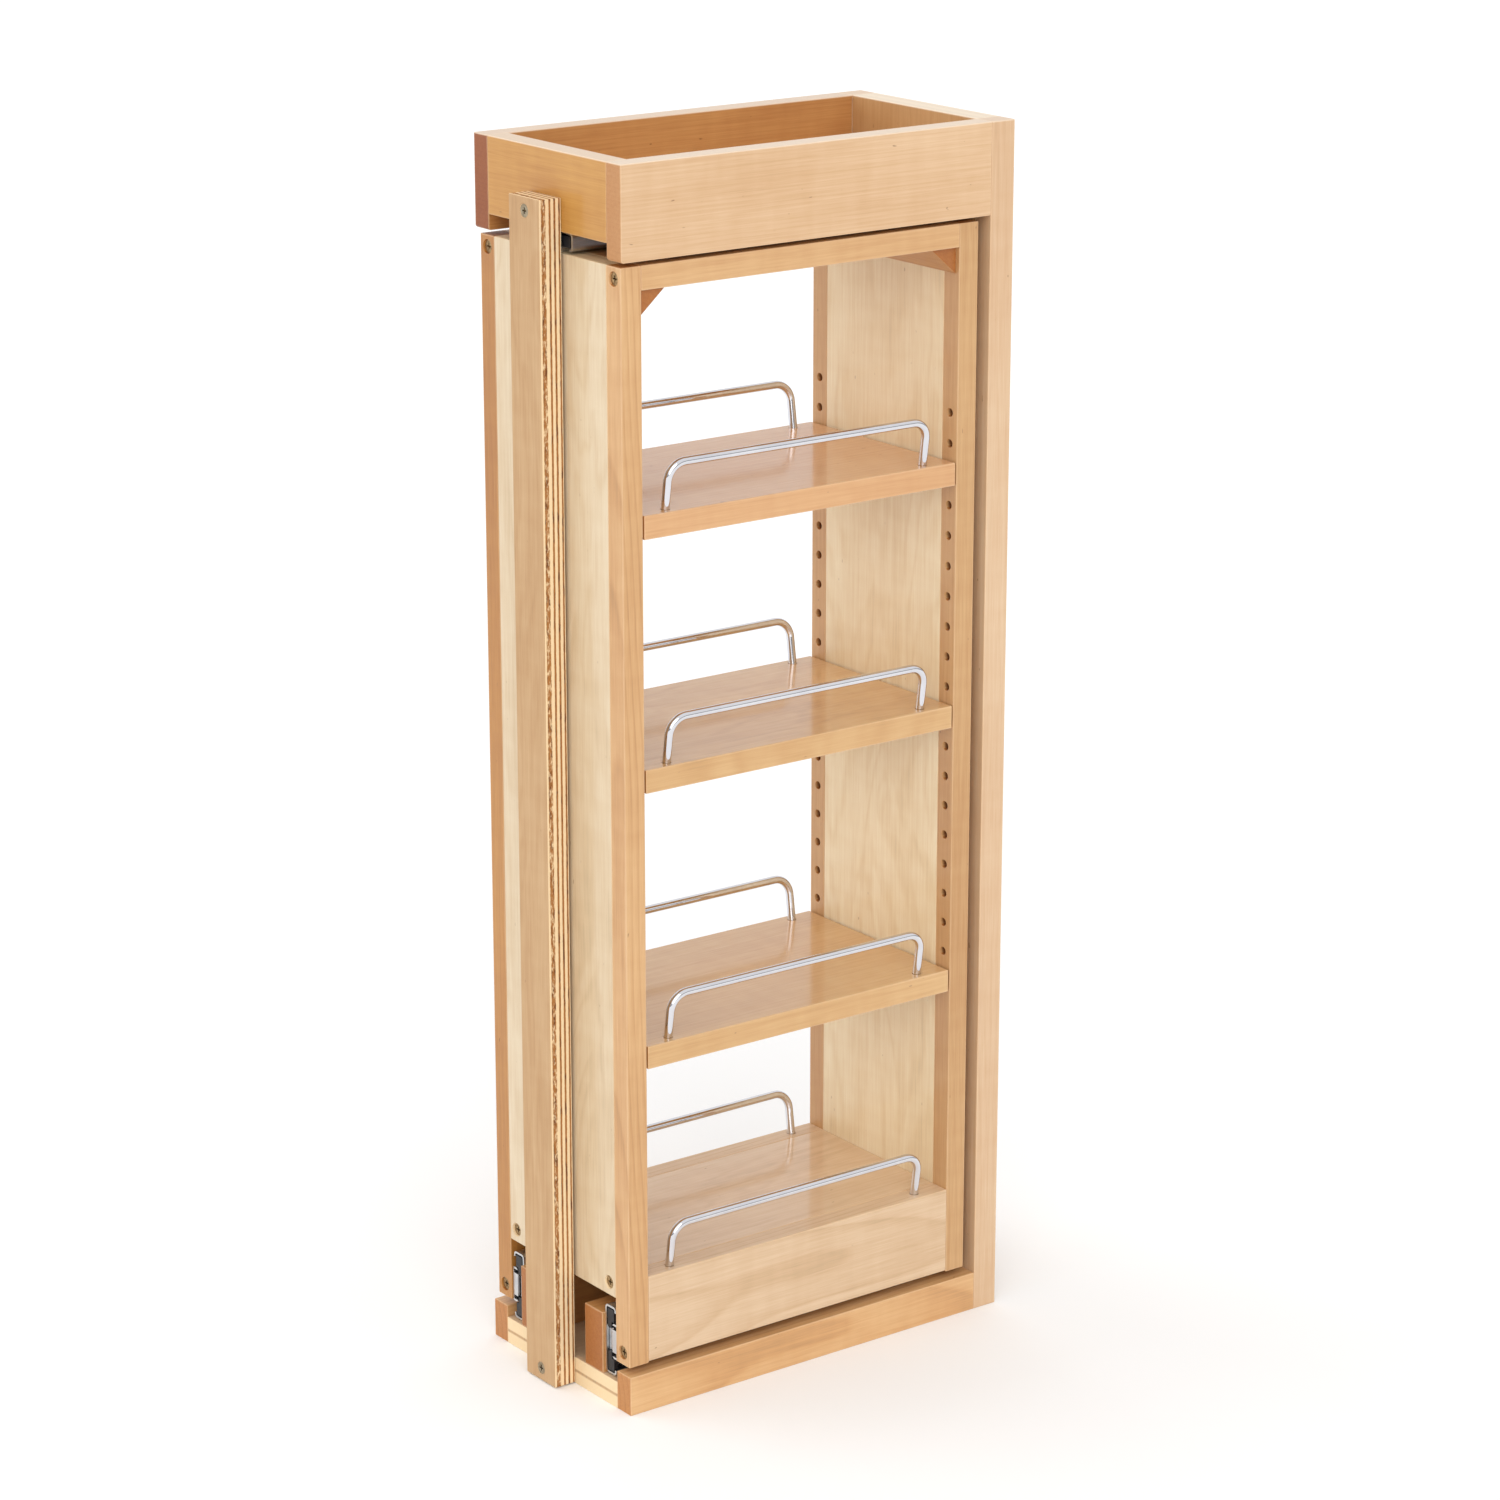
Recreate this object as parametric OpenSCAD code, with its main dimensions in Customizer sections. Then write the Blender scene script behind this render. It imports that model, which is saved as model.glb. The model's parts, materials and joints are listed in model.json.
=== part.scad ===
// Pull-out pantry rack for the filler gap between two wall cabinets.
// A fixed wooden housing carries a tall shelf rack on three full-extension ball-bearing slides.
// Millimetres. +Z is up and the rack pulls out towards -Y.
// The origin is the centre of the housing's underside.

/* [Housing] */
// Width across the housing
width = 149.2; // [130:0.1:230]
// Depth from the top box's front to the back of the back panel
depth = 285.8; // [285.8:0.1:330]
// Height of the housing
height = 762; // [680:1:1100]
// Thickness of the solid boards
stock = 14.3; // [12:0.1:16]
// Thickness of the back panel
back_t = 17.5; // [14:0.1:20]
// Height of the top box's side boards
box_side_h = 56; // [50:0.5:90]
// Thickness of the plywood base board
base_board_t = 17.5; // [15:0.1:19]
// Height of the two base rails
base_rail_h = 25; // [20:0.5:27]
// Width of the upright blocks that carry the lower slides
block_w = 19; // [14:0.5:22]
// Height of the blocks above the base board
block_h = 40; // [34:0.5:42]

/* [Rack] */
// Gap between the rack and each side of the housing
rack_inset = 3; // [2:0.1:6]
// How far the rack's front sits behind the housing's front
rack_setback = 1.5; // [1:0.1:4]
// Gap between the rack and the housing's back panel
rear_gap = 6.9; // [5:0.1:12]
// Height of the rack's lower edge
rack_z0 = 30; // [28:0.5:34]
// Gap between the rack's top and the top box's side boards
rack_top_gap = 3; // [2:0.1:5]
// Height of the aprons under the bottom shelf
apron_h = 55.5; // [54:0.5:70]
// Leg of the triangular corner blocks along the top board
corner_leg_y = 19; // [10:0.5:30]
// Leg of the triangular corner blocks down the end panels
corner_leg_z = 16.5; // [10:0.5:30]
// How far the corner blocks stop short of the rack's sides
corner_inset = 3; // [0:0.5:10]

/* [Shelves] */
// Distance from the rack's top down to the highest row of pin holes
first_row_drop = 115.7; // [80:0.1:130]
// Distance between rows of pin holes
row_pitch = 19.05; // [15:0.05:32]
// Number of rows of pin holes
row_count = 20; // [20:1:21]
// Row that holds the upper shelf, counted down from 0
upper_row = 2; // [0:1:6]
// Row that holds the middle shelf
middle_row = 10; // [7:1:14]
// Row that holds the lower shelf
lower_row = 19; // [15:1:19]
// Diameter of the shelf pins
pin_d = 5; // [4:0.1:7]
// Depth of the pin holes
pin_hole_depth = 10; // [8.5:0.5:11]
// How far a pin reaches into a panel and into a shelf
pin_reach = 8; // [6:0.5:8]
// Gap between a shelf's end and the panel
shelf_gap = 1; // [0.5:0.1:2]
// Height of the pins above the shelf's underside
pin_rise = 5.6; // [4:0.1:8]

/* [Rails] */
// Diameter of the chromed wire
wire_d = 5.2; // [4:0.1:8]
// Height of the wire's centre line above the shelf
rail_h = 28; // [20:0.5:50]
// Distance between a rail's two legs
rail_len = 190; // [120:1:200]
// Outward lean of the rails
rail_lean = 8.5; // [0:0.5:12]
// Bend radius of the wire's centre line
rail_bend = 11; // [6:0.5:16]
// Depth of the legs in the wood
rail_sink = 8; // [5:0.5:10]

/* [Slides] */
// Height of the slides' outer member
slide_h = 45; // [45:0.5:46]
// Thickness of a closed slide
slide_t = 12.7; // [12.7:0.1:13]
// Sheet thickness of the slide members
sheet = 1.3; // [1:0.1:1.5]
// Length of the outer member
slide_len = 250; // [240:1:260]
// Diameter of the bearing balls
ball_d = 4.4; // [4:0.1:4.4]
// Number of balls in each row
ball_count = 9; // [4:1:10]

/* [Shipping brace] */
// Width of the plywood strip
brace_w = 31; // [20:0.5:60]
// Thickness of the strip
brace_t = 15; // [9:0.5:20]
// How far the strip's top is below the housing's top
brace_drop = 26.5; // [10:0.5:30]
// Height of the strip's underside above the housing's underside
brace_z0 = 1; // [0.5:0.5:3]

/* [Screws] */
// Radius of a countersunk head
head_r = 3.9; // [3:0.1:5]
// Radius of a screw's shank
shank_r = 1.9; // [1.5:0.1:2.5]
// Depth of a head below the face of the board
head_depth = 1.2; // [0.2:0.1:2]
// Length of the wood screws
screw_len = 34; // [28:1:45]
// How far the brace screws reach into the housing
brace_bite = 11; // [6:0.5:11]
// Length of the slide screws
slide_screw_len = 12.3; // [8:0.1:12.3]
// Radius of the slide screws' pan heads
pan_r = 3.7; // [3:0.1:4.5]

/* [Hidden] */
$fn = 48;

fit = 0.05;      // clearance around a screw, pin or wire in its own piece
body_gap = 0.3;  // clearance between pieces that move apart
through = 1;     // how far a cutting tool runs past a face

maple = [0.87, 0.68, 0.46];
maple_light = [0.9, 0.78, 0.62];
birch = [0.89, 0.8, 0.66];
plywood = [0.86, 0.74, 0.55];
zinc = [0.72, 0.74, 0.76];
chrome = [0.86, 0.87, 0.9];
black = [0.1, 0.1, 0.11];
brass = [0.66, 0.58, 0.42];

// Housing planes
side_x = width / 2;
inner_x = side_x - stock;
front_y = -depth / 2;
back_y = depth / 2;
panel_y = back_y - back_t;
box_z0 = height - box_side_h;

// Rack planes
rack_x = side_x - rack_inset;
rack_inner_x = rack_x - stock;
rack_y0 = front_y + rack_setback;
rack_y1 = panel_y - rear_gap;
bay_y0 = rack_y0 + stock;
bay_y1 = rack_y1 - stock;
bay_mid_y = (bay_y0 + bay_y1) / 2;
rack_z1 = box_z0 - rack_top_gap;
first_row_z = rack_z1 - first_row_drop;
carrier_z0 = rack_z1 + slide_t;
top_board_z0 = rack_z1 - stock;
apron_z0 = rack_z0 + 1;
bottom_shelf_z1 = apron_z0 + apron_h;
bottom_shelf_z0 = bottom_shelf_z1 - stock;
recess_z1 = bottom_shelf_z0 - 1;
strip_mid_x = rack_inner_x + stock / 2;

// Slides. In a slide's own frame u is the distance from the housing side and v the height.
block_x1 = rack_inner_x - slide_t;
block_x0 = block_x1 - block_w;
block_setback = 0.4;                       // from the housing's front
slide_setback = 2.7;                       // from the housing's front
slide_y0 = front_y + slide_setback;
slide_z = base_board_t + 1 + slide_h / 2;  // centre line of the lower slides
outer_u1 = 11;                             // the outer member's far face
outer_r = 2.6;                             // radius of its corners
outer_lip = 3.6;                           // width of its turned-in lips
cap_t = 3;                                 // thickness of the end bumpers
middle_y0 = slide_y0 + cap_t;
middle_len = slide_len - 10;
middle_u0 = 2.2;                           // near face of the middle member's flanges
middle_u1 = 9.4;                           // far face of its flanges
middle_r = 2;                              // radius of its corners
web_u0 = 5;                                // near face of its web
inner_len = slide_len - 10;
inner_u0 = slide_t - 5.5;                  // near face of the inner member's flanges
inner_v = 11.5;                            // half its height
tab_v = 7.5;                               // half the height of the members' end tabs
tab_u0 = 1.7;                              // near face of the middle member's end tab
race_y0 = middle_y0 + 12;                  // the run of the balls
race_y1 = middle_y0 + 200;
ball_u = 5.6;
ball_v = slide_h / 2 - sheet - body_gap - ball_d / 2;
middle_v = ball_v - ball_d / 2 - body_gap; // half the middle member's height
cap_v = middle_v + 4.1;                    // half the height that the end bumpers fill
slide_screw_y = [slide_y0 + 45, slide_y0 + 125, slide_y0 + 205];

half_run = rail_len / 2 - rail_bend;  // half the straight run between a rail's bends

// Shipping brace
brace_y1 = front_y - body_gap;
brace_top = height - brace_drop;
brace_screw_z = [base_board_t / 2, brace_top - 8];

// Details
ease_r = 2;                    // rounding of the top box's lower front corners
block_screw_y = [-90, 70];     // screws from below into the slide blocks
screw_edge = 7;                // distance of a screw from the edge of its board
head_rim = 0.6;                // straight rim of a countersunk head
recess_w = 4;                  // span of a screw's cross recess
recess_t = 0.9;                // width of the recess's arms
pan_h = 1.7;                   // height of a pan head
pin_slot_w = pin_d + 0.4;      // width of the slots that hide the pins
pin_slot_depth = pin_reach + 1;

// Shelf heights: each shelf rests on the pins of its row
function row_z(row) = first_row_z - row * row_pitch;
function shelf_z0(row) = row_z(row) - pin_rise;
function shelf_top(row) = shelf_z0(row) + stock;
shelf_rows = [upper_row, middle_row, lower_row];

// ---------- general shapes ----------

module box(x0, x1, y0, y1, z0, z1) {
    translate([x0, y0, z0]) cube([x1 - x0, y1 - y0, z1 - z0]);
}

module both_sides() {
    children();
    mirror([1, 0, 0]) children();
}

// ---------- wood screws ----------

// The cross recess of a screw along +Y with the face of its head at y = 0.
module cross_recess(depth) {
    for (turn = [0, 90]) rotate([0, turn, 0])
        translate([-recess_w / 2, -through, -recess_t / 2])
            cube([recess_w, through + depth, recess_t]);
}

// A countersunk screw along +Y with its head at y = 0. With grow = 0 it has a cross recess.
module wood_screw(length, grow) {
    cone = head_r - shank_r;
    difference() {
        union() {
            rotate([-90, 0, 0]) cylinder(h = head_rim + grow, r = head_r + grow);
            translate([0, head_rim, 0]) rotate([-90, 0, 0])
                cylinder(h = cone, r1 = head_r + grow, r2 = shank_r + grow);
            rotate([-90, 0, 0]) cylinder(h = length + grow, r = shank_r + grow);
        }
        if (grow == 0) cross_recess(1.6);
    }
}

// The hole for one wood screw, open to the face of the board.
module screw_hole() {
    wood_screw(screw_len, fit);
    translate([0, -head_depth - through, 0]) rotate([-90, 0, 0])
        cylinder(h = head_depth + through + body_gap, r = head_r + body_gap);
}

// A pan-head screw along +Y with its head seated at y = 0. With grow > 0 it is only the shank.
module pan_screw(length, grow) {
    rotate([-90, 0, 0]) cylinder(h = length + grow, r = shank_r + grow);
    if (grow == 0) translate([0, -pan_h, 0]) difference() {
        rotate([-90, 0, 0]) cylinder(h = pan_h, r = pan_r);
        cross_recess(0.8);
    }
}

// Places its child at each front-panel screw.
module at_front_screws() {
    both_sides() {
        translate([strip_mid_x, rack_y0 + head_depth, rack_z1 - stock / 2]) children();
        translate([rack_inner_x - screw_edge, rack_y0 + head_depth, bottom_shelf_z0 + stock / 2])
            children();
        translate([strip_mid_x, rack_y0 + head_depth, apron_z0 + screw_edge]) children();
    }
}

module at_rack_screws() {
    at_front_screws() children();
    translate([0, rack_y0 + rack_y1, 0]) mirror([0, 1, 0]) at_front_screws() children();
}

// Back-panel screws into the top box, the carrier and the base.
module at_housing_screws() {
    translate([0, back_y - head_depth, 0]) both_sides() {
        translate([inner_x + stock / 2, 0, height - box_side_h / 2]) rotate([0, 0, 180])
            children();
        translate([inner_x / 2, 0, carrier_z0 + stock / 2]) rotate([0, 0, 180]) children();
        translate([inner_x + stock / 2, 0, base_rail_h / 2]) rotate([0, 0, 180]) children();
        translate([inner_x / 2, 0, base_board_t / 2]) rotate([0, 0, 180]) children();
    }
    // from below, into the slide blocks
    both_sides() for (y = block_screw_y)
        translate([(block_x0 + block_x1) / 2, y, head_depth]) rotate([90, 0, 0]) children();
}

module at_brace_screws() {
    for (z = brace_screw_z) translate([0, front_y - brace_t, z]) children();
}

module housing_screws() {
    color(zinc) at_housing_screws() wood_screw(screw_len, 0);
}

module rack_screws() {
    color(brass) at_rack_screws() wood_screw(screw_len, 0);
}

module brace_screws() {
    color(zinc) at_brace_screws() wood_screw(brace_t + brace_bite, 0);
}

// Holes in the housing for the brace's screws, wide enough for them to pull straight out.
module brace_pilot_holes() {
    for (z = brace_screw_z) translate([0, front_y - through, z]) rotate([-90, 0, 0])
        cylinder(h = through + brace_bite + body_gap, r = shank_r + body_gap);
}

// ---------- housing ----------

module back_panel_core() {
    color(birch) difference() {
        box(-inner_x, inner_x, panel_y, back_y, 0, height);
        at_housing_screws() screw_hole();
    }
}

module back_panel_strip() {
    color(maple_light) difference() {
        box(inner_x, side_x, panel_y, back_y, 0, height);
        at_housing_screws() screw_hole();
    }
}

module top_box_side_board() {
    color(maple) difference() {
        box(inner_x, side_x, front_y, panel_y, box_z0, height);
        at_housing_screws() screw_hole();
        // the lower front corner is eased
        difference() {
            box(inner_x - through, side_x + through, front_y - through, front_y + ease_r,
                box_z0 - through, box_z0 + ease_r);
            translate([0, front_y + ease_r, box_z0 + ease_r]) rotate([0, 90, 0])
                cylinder(h = 2 * width, r = ease_r, center = true);
        }
    }
}

module top_box_front_board() {
    color(maple) difference() {
        box(-inner_x, inner_x, front_y, front_y + stock, carrier_z0, height);
        brace_pilot_holes();
    }
}

module top_slide_carrier() {
    color(maple) difference() {
        box(-inner_x, inner_x, front_y + stock, panel_y, carrier_z0, carrier_z0 + stock);
        at_housing_screws() screw_hole();
        top_slide_frame() at_slide_screws() slide_screw(0, fit);
    }
}

module base_board() {
    color(plywood) difference() {
        box(-inner_x, inner_x, front_y, panel_y, 0, base_board_t);
        at_housing_screws() screw_hole();
        brace_pilot_holes();
    }
}

module base_rail() {
    color(maple) difference() {
        box(inner_x, side_x, front_y, panel_y, 0, base_rail_h);
        at_housing_screws() screw_hole();
    }
}

module slide_block() {
    color(maple) difference() {
        box(block_x0, block_x1, front_y + block_setback, panel_y,
            base_board_t, base_board_t + block_h);
        at_housing_screws() screw_hole();
        right_slide_frame() at_slide_screws() slide_screw(0, fit);
    }
}

// ---------- slides ----------
// Each slide is drawn in its own frame: x is its thickness from the housing side (0) to the
// rack side (slide_t), z is its height about its centre line, and y runs along it.

module right_slide_frame() {
    translate([block_x1, 0, slide_z]) children();
}

module left_slide_frame() {
    mirror([1, 0, 0]) right_slide_frame() children();
}

module top_slide_frame() {
    translate([0, 0, carrier_z0]) rotate([0, 90, 0]) children();
}

module rounded_rect(u0, u1, v, r) {
    translate([u0, -v + r]) square([u1 - u0, 2 * (v - r)]);
    translate([u0 + r, -v]) square([u1 - u0 - 2 * r, 2 * v]);
    for (u = [u0 + r, u1 - r], w = [-v + r, v - r]) translate([u, w]) circle(r);
}

// Extrudes a profile in the slide frame along y.
module along_slide(y0, length) {
    translate([0, y0 + length, 0]) rotate([90, 0, 0]) linear_extrude(length) children();
}

// A slide screw along x. side 0 screws into the housing, side 1 into the rack.
module slide_screw(side, grow) {
    seat = side == 0 ? sheet : slide_t - sheet;
    turn = side == 0 ? 90 : -90;
    translate([seat, 0, 0]) rotate([0, 0, turn]) pan_screw(slide_screw_len, grow);
}

module at_slide_screws() {
    for (y = slide_screw_y) translate([0, y, 0]) children();
}

module slide_outer() {
    v = slide_h / 2;
    color(zinc) difference() {
        along_slide(slide_y0, slide_len) difference() {
            rounded_rect(0, outer_u1, v, outer_r);
            rounded_rect(sheet, outer_u1 - sheet, v - sheet, outer_r - sheet);
            translate([outer_u1 - 2 * sheet, -v + outer_lip])
                square([3 * sheet, 2 * (v - outer_lip)]);
        }
        at_slide_screws() slide_screw(0, fit);
        // spare screw holes
        at_slide_screws() translate([-through, 20, 0]) rotate([0, 90, 0])
            cylinder(h = sheet + 2 * through, r = 2.3);
    }
}

module slide_middle() {
    hollow_v = middle_v - sheet;
    color(zinc) {
        along_slide(middle_y0, middle_len) difference() {
            rounded_rect(middle_u0, middle_u1, middle_v, middle_r);
            translate([middle_u0 - through, -hollow_v])
                square([web_u0 - middle_u0 + through, 2 * hollow_v]);
            translate([web_u0 + sheet, -hollow_v]) square([middle_u1 - web_u0, 2 * hollow_v]);
        }
        // end tab
        box(tab_u0, web_u0 + sheet, middle_y0 - sheet, middle_y0, -tab_v, tab_v);
    }
}

// Two plastic end bumpers, the strips that space the bearing balls, and the inner race strips.
module slide_retainer() {
    race_v0 = inner_v + 2 * body_gap;
    color(black) difference() {
        for (side = [0, 1]) mirror([0, 0, side]) {
            box(middle_u0 + 0.2, middle_u1 - 0.6, slide_y0, middle_y0, race_v0, cap_v);
            box(middle_u0 + 0.2, web_u0 + sheet, slide_y0, middle_y0, tab_v + body_gap, cap_v);
            box(ball_u - 2.4, ball_u + 2.4, middle_y0, race_y1, ball_v - 0.6, ball_v + 0.6);
            box(inner_u0 - 0.4, middle_u1 - 0.2, middle_y0, race_y1, race_v0, middle_v - sheet);
        }
        at_balls() sphere(ball_d / 2 + fit);
    }
}

module at_balls() {
    step = (race_y1 - race_y0 - 8) / (ball_count - 1);
    for (s = [-1, 1], i = [0 : ball_count - 1])
        translate([ball_u, race_y0 + i * step, s * ball_v]) children();
}

module slide_balls() {
    color(chrome) at_balls() sphere(ball_d / 2, $fn = 24);
}

module slide_inner() {
    hollow_v = inner_v - sheet;
    color(zinc) difference() {
        union() {
            along_slide(slide_y0, inner_len) difference() {
                rounded_rect(inner_u0, slide_t, inner_v, middle_r);
                translate([inner_u0 - through, -hollow_v])
                    square([slide_t - inner_u0 - sheet + through, 2 * hollow_v]);
            }
            // end tab
            box(inner_u0, slide_t - sheet, slide_y0, slide_y0 + sheet, -tab_v, tab_v);
        }
        at_slide_screws() slide_screw(1, fit);
    }
}

module left_slide_outer() { left_slide_frame() slide_outer(); }
module right_slide_outer() { right_slide_frame() slide_outer(); }
module top_slide_outer() { top_slide_frame() slide_outer(); }
module left_slide_middle() { left_slide_frame() slide_middle(); }
module right_slide_middle() { right_slide_frame() slide_middle(); }
module top_slide_middle() { top_slide_frame() slide_middle(); }
module left_slide_retainer() { left_slide_frame() slide_retainer(); }
module right_slide_retainer() { right_slide_frame() slide_retainer(); }
module top_slide_retainer() { top_slide_frame() slide_retainer(); }
module left_slide_balls() { left_slide_frame() slide_balls(); }
module right_slide_balls() { right_slide_frame() slide_balls(); }
module top_slide_balls() { top_slide_frame() slide_balls(); }
module left_slide_inner() { left_slide_frame() slide_inner(); }
module right_slide_inner() { right_slide_frame() slide_inner(); }
module top_slide_inner() { top_slide_frame() slide_inner(); }

module housing_slide_screws() {
    color(zinc) {
        left_slide_frame() at_slide_screws() slide_screw(0, 0);
        right_slide_frame() at_slide_screws() slide_screw(0, 0);
        top_slide_frame() at_slide_screws() slide_screw(0, 0);
    }
}

module rack_slide_screws() {
    color(zinc) {
        left_slide_frame() at_slide_screws() slide_screw(1, 0);
        right_slide_frame() at_slide_screws() slide_screw(1, 0);
        top_slide_frame() at_slide_screws() slide_screw(1, 0);
    }
}

// ---------- rack panels ----------

// Columns of pin holes in the inner faces of both end panels.
module pin_holes() {
    both_sides() for (row = [0 : row_count - 1]) translate([strip_mid_x, 0, row_z(row)]) {
        translate([0, bay_y0 - pin_hole_depth, 0]) rotate([-90, 0, 0])
            cylinder(h = pin_hole_depth + through, d = pin_d);
        translate([0, bay_y1 - through, 0]) rotate([-90, 0, 0])
            cylinder(h = pin_hole_depth + through, d = pin_d);
    }
}

module panel_core(y0) {
    color(birch) difference() {
        box(-rack_inner_x, rack_inner_x, y0, y0 + stock, recess_z1, rack_z1);
        at_rack_screws() screw_hole();
    }
}

module panel_strip(y0) {
    color(maple) difference() {
        box(rack_inner_x, rack_x, y0, y0 + stock, rack_z0, rack_z1);
        at_rack_screws() screw_hole();
        pin_holes();
    }
}

module rack_top_board() {
    color(maple) difference() {
        box(-rack_x, rack_x, bay_y0, bay_y1, top_board_z0, rack_z1);
        at_rack_screws() screw_hole();
        top_slide_frame() at_slide_screws() slide_screw(1, fit);
    }
}

// A triangular block glued under the top board against the front panel.
module front_corner_block() {
    reach = rack_x - corner_inset;
    color(maple) translate([-reach, bay_y0, top_board_z0]) rotate([90, 0, 90])
        linear_extrude(2 * reach)
            polygon([[0, 0], [corner_leg_y, 0], [0, -corner_leg_z]]);
}

module rear_corner_block() {
    translate([0, bay_y0 + bay_y1, 0]) mirror([0, 1, 0]) front_corner_block();
}

module bottom_shelf() {
    color(maple_light) difference() {
        box(-rack_inner_x, rack_inner_x, bay_y0, bay_y1, bottom_shelf_z0, bottom_shelf_z1);
        at_rack_screws() screw_hole();
    }
}

module apron() {
    color(maple_light) difference() {
        box(rack_inner_x, rack_x, bay_y0, bay_y1, apron_z0, bottom_shelf_z1);
        at_rack_screws() screw_hole();
        right_slide_frame() at_slide_screws() slide_screw(1, fit);
        rail_sockets(bottom_shelf_z1);
    }
}

// ---------- shelves, pins and wire rails ----------

module shelf(row) {
    z0 = shelf_z0(row);
    slot_x0 = strip_mid_x - pin_slot_w / 2;
    color(maple) difference() {
        box(-rack_x, rack_x, bay_y0 + shelf_gap, bay_y1 - shelf_gap, z0, z0 + stock);
        rail_sockets(z0 + stock);
        // slots in the ends hide the pins that the shelf hangs on
        both_sides() for (y = [bay_y0, bay_y1 - pin_slot_depth])
            box(slot_x0, slot_x0 + pin_slot_w, y, y + pin_slot_depth,
                z0 - through, row_z(row) + pin_d / 2);
    }
}

module shelf_pins() {
    color(zinc) for (row = shelf_rows, y = [bay_y0, bay_y1]) both_sides()
        translate([strip_mid_x, y - pin_reach, row_z(row)]) rotate([-90, 0, 0])
            cylinder(h = 2 * pin_reach, d = pin_d - 2 * fit);
}

// The frame of a rail on the right side: the origin is midway between its feet.
module rail_frame(z) {
    translate([strip_mid_x, bay_mid_y, z]) rotate([0, rail_lean, 0]) children();
}

// One leg, from its foot in the wood up to the bend.
module rail_leg(r) {
    translate([0, half_run + rail_bend, -rail_sink])
        cylinder(h = rail_sink + rail_h - rail_bend, r = r);
}

module rail(z) {
    r = wire_d / 2;
    color(chrome) rail_frame(z) {
        for (turn = [0, 180]) rotate([0, 0, turn]) {
            rail_leg(r);
            translate([0, half_run, rail_h - rail_bend]) rotate([90, 0, 90])
                rotate_extrude(angle = 90) translate([rail_bend, 0]) circle(r);
        }
        translate([0, -half_run, rail_h]) rotate([-90, 0, 0]) cylinder(h = 2 * half_run, r = r);
    }
}

module rail_sockets(z) {
    both_sides() rail_frame(z) for (turn = [0, 180]) rotate([0, 0, turn]) rail_leg(wire_d / 2 + fit);
}

// ---------- shipping brace ----------

module shipping_brace() {
    color(plywood) difference() {
        box(-brace_w / 2, brace_w / 2, brace_y1 - brace_t, brace_y1, brace_z0, brace_top);
        at_brace_screws() wood_screw(brace_t + brace_bite, fit);
        // the heads are seated just below the face
        at_brace_screws() translate([0, -through, 0]) rotate([-90, 0, 0])
            cylinder(h = through + fit, r = head_r + body_gap);
    }
}

back_panel_core();
mirror([1, 0, 0]) back_panel_strip();  // back_panel_left_strip
back_panel_strip();  // back_panel_right_strip
mirror([1, 0, 0]) top_box_side_board();  // top_box_left_board
top_box_side_board();  // top_box_right_board
top_box_front_board();
top_slide_carrier();
base_board();
mirror([1, 0, 0]) base_rail();  // base_left_rail
base_rail();  // base_right_rail
mirror([1, 0, 0]) slide_block();  // left_slide_block
slide_block();  // right_slide_block
housing_screws();
left_slide_outer();
right_slide_outer();
top_slide_outer();
housing_slide_screws();
left_slide_middle();
left_slide_retainer();
left_slide_balls();
right_slide_middle();
right_slide_retainer();
right_slide_balls();
top_slide_middle();
top_slide_retainer();
top_slide_balls();
panel_core(rack_y0);  // front_panel_core
mirror([1, 0, 0]) panel_strip(rack_y0);  // front_panel_left_strip
panel_strip(rack_y0);  // front_panel_right_strip
panel_core(bay_y1);  // rear_panel_core
mirror([1, 0, 0]) panel_strip(bay_y1);  // rear_panel_left_strip
panel_strip(bay_y1);  // rear_panel_right_strip
rack_top_board();
front_corner_block();
rear_corner_block();
bottom_shelf();
mirror([1, 0, 0]) apron();  // left_apron
apron();  // right_apron
shelf(upper_row);  // upper_shelf
shelf(middle_row);  // middle_shelf
shelf(lower_row);  // lower_shelf
shelf_pins();
mirror([1, 0, 0]) rail(shelf_top(upper_row));  // upper_left_rail
rail(shelf_top(upper_row));  // upper_right_rail
mirror([1, 0, 0]) rail(shelf_top(middle_row));  // middle_left_rail
rail(shelf_top(middle_row));  // middle_right_rail
mirror([1, 0, 0]) rail(shelf_top(lower_row));  // lower_left_rail
rail(shelf_top(lower_row));  // lower_right_rail
mirror([1, 0, 0]) rail(bottom_shelf_z1);  // bottom_left_rail
rail(bottom_shelf_z1);  // bottom_right_rail
rack_screws();
left_slide_inner();
right_slide_inner();
top_slide_inner();
rack_slide_screws();
shipping_brace();
brace_screws();
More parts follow.
